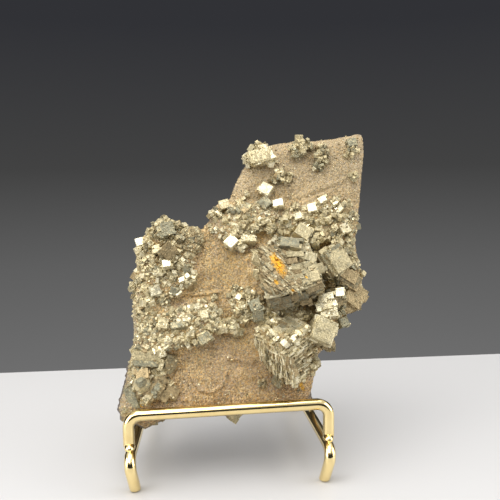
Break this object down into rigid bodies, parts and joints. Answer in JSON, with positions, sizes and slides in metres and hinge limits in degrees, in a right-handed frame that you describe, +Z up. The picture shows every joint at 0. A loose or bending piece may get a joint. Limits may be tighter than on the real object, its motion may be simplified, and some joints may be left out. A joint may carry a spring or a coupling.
{
  "type": "pyrite specimen on display stand",
  "caption": "Upright slab of matrix rock crusted with pyrite cubes and stepped blocks, leaning in a small bent gold-wire easel stand.",
  "frame": {"origin": "On the floor under the middle of the whole object's bounding box.", "axes": "+Z up, -Y the crystal face and the front of the stand, +X to the right seen from the front."},
  "size_m": [0.0726, 0.0566, 0.0918],
  "materials": {
    "pyrite": "brassy metallic crystals over sparkling brown rock",
    "gold_wire": "polished gold plate"
  },
  "bodies": {
    "root": {"pyrite_specimen": "pyrite", "front_rail": "gold_wire", "side_rail_left": "gold_wire", "side_rail_right": "gold_wire", "back_rest": "gold_wire"}
  },
  "joints": []
}
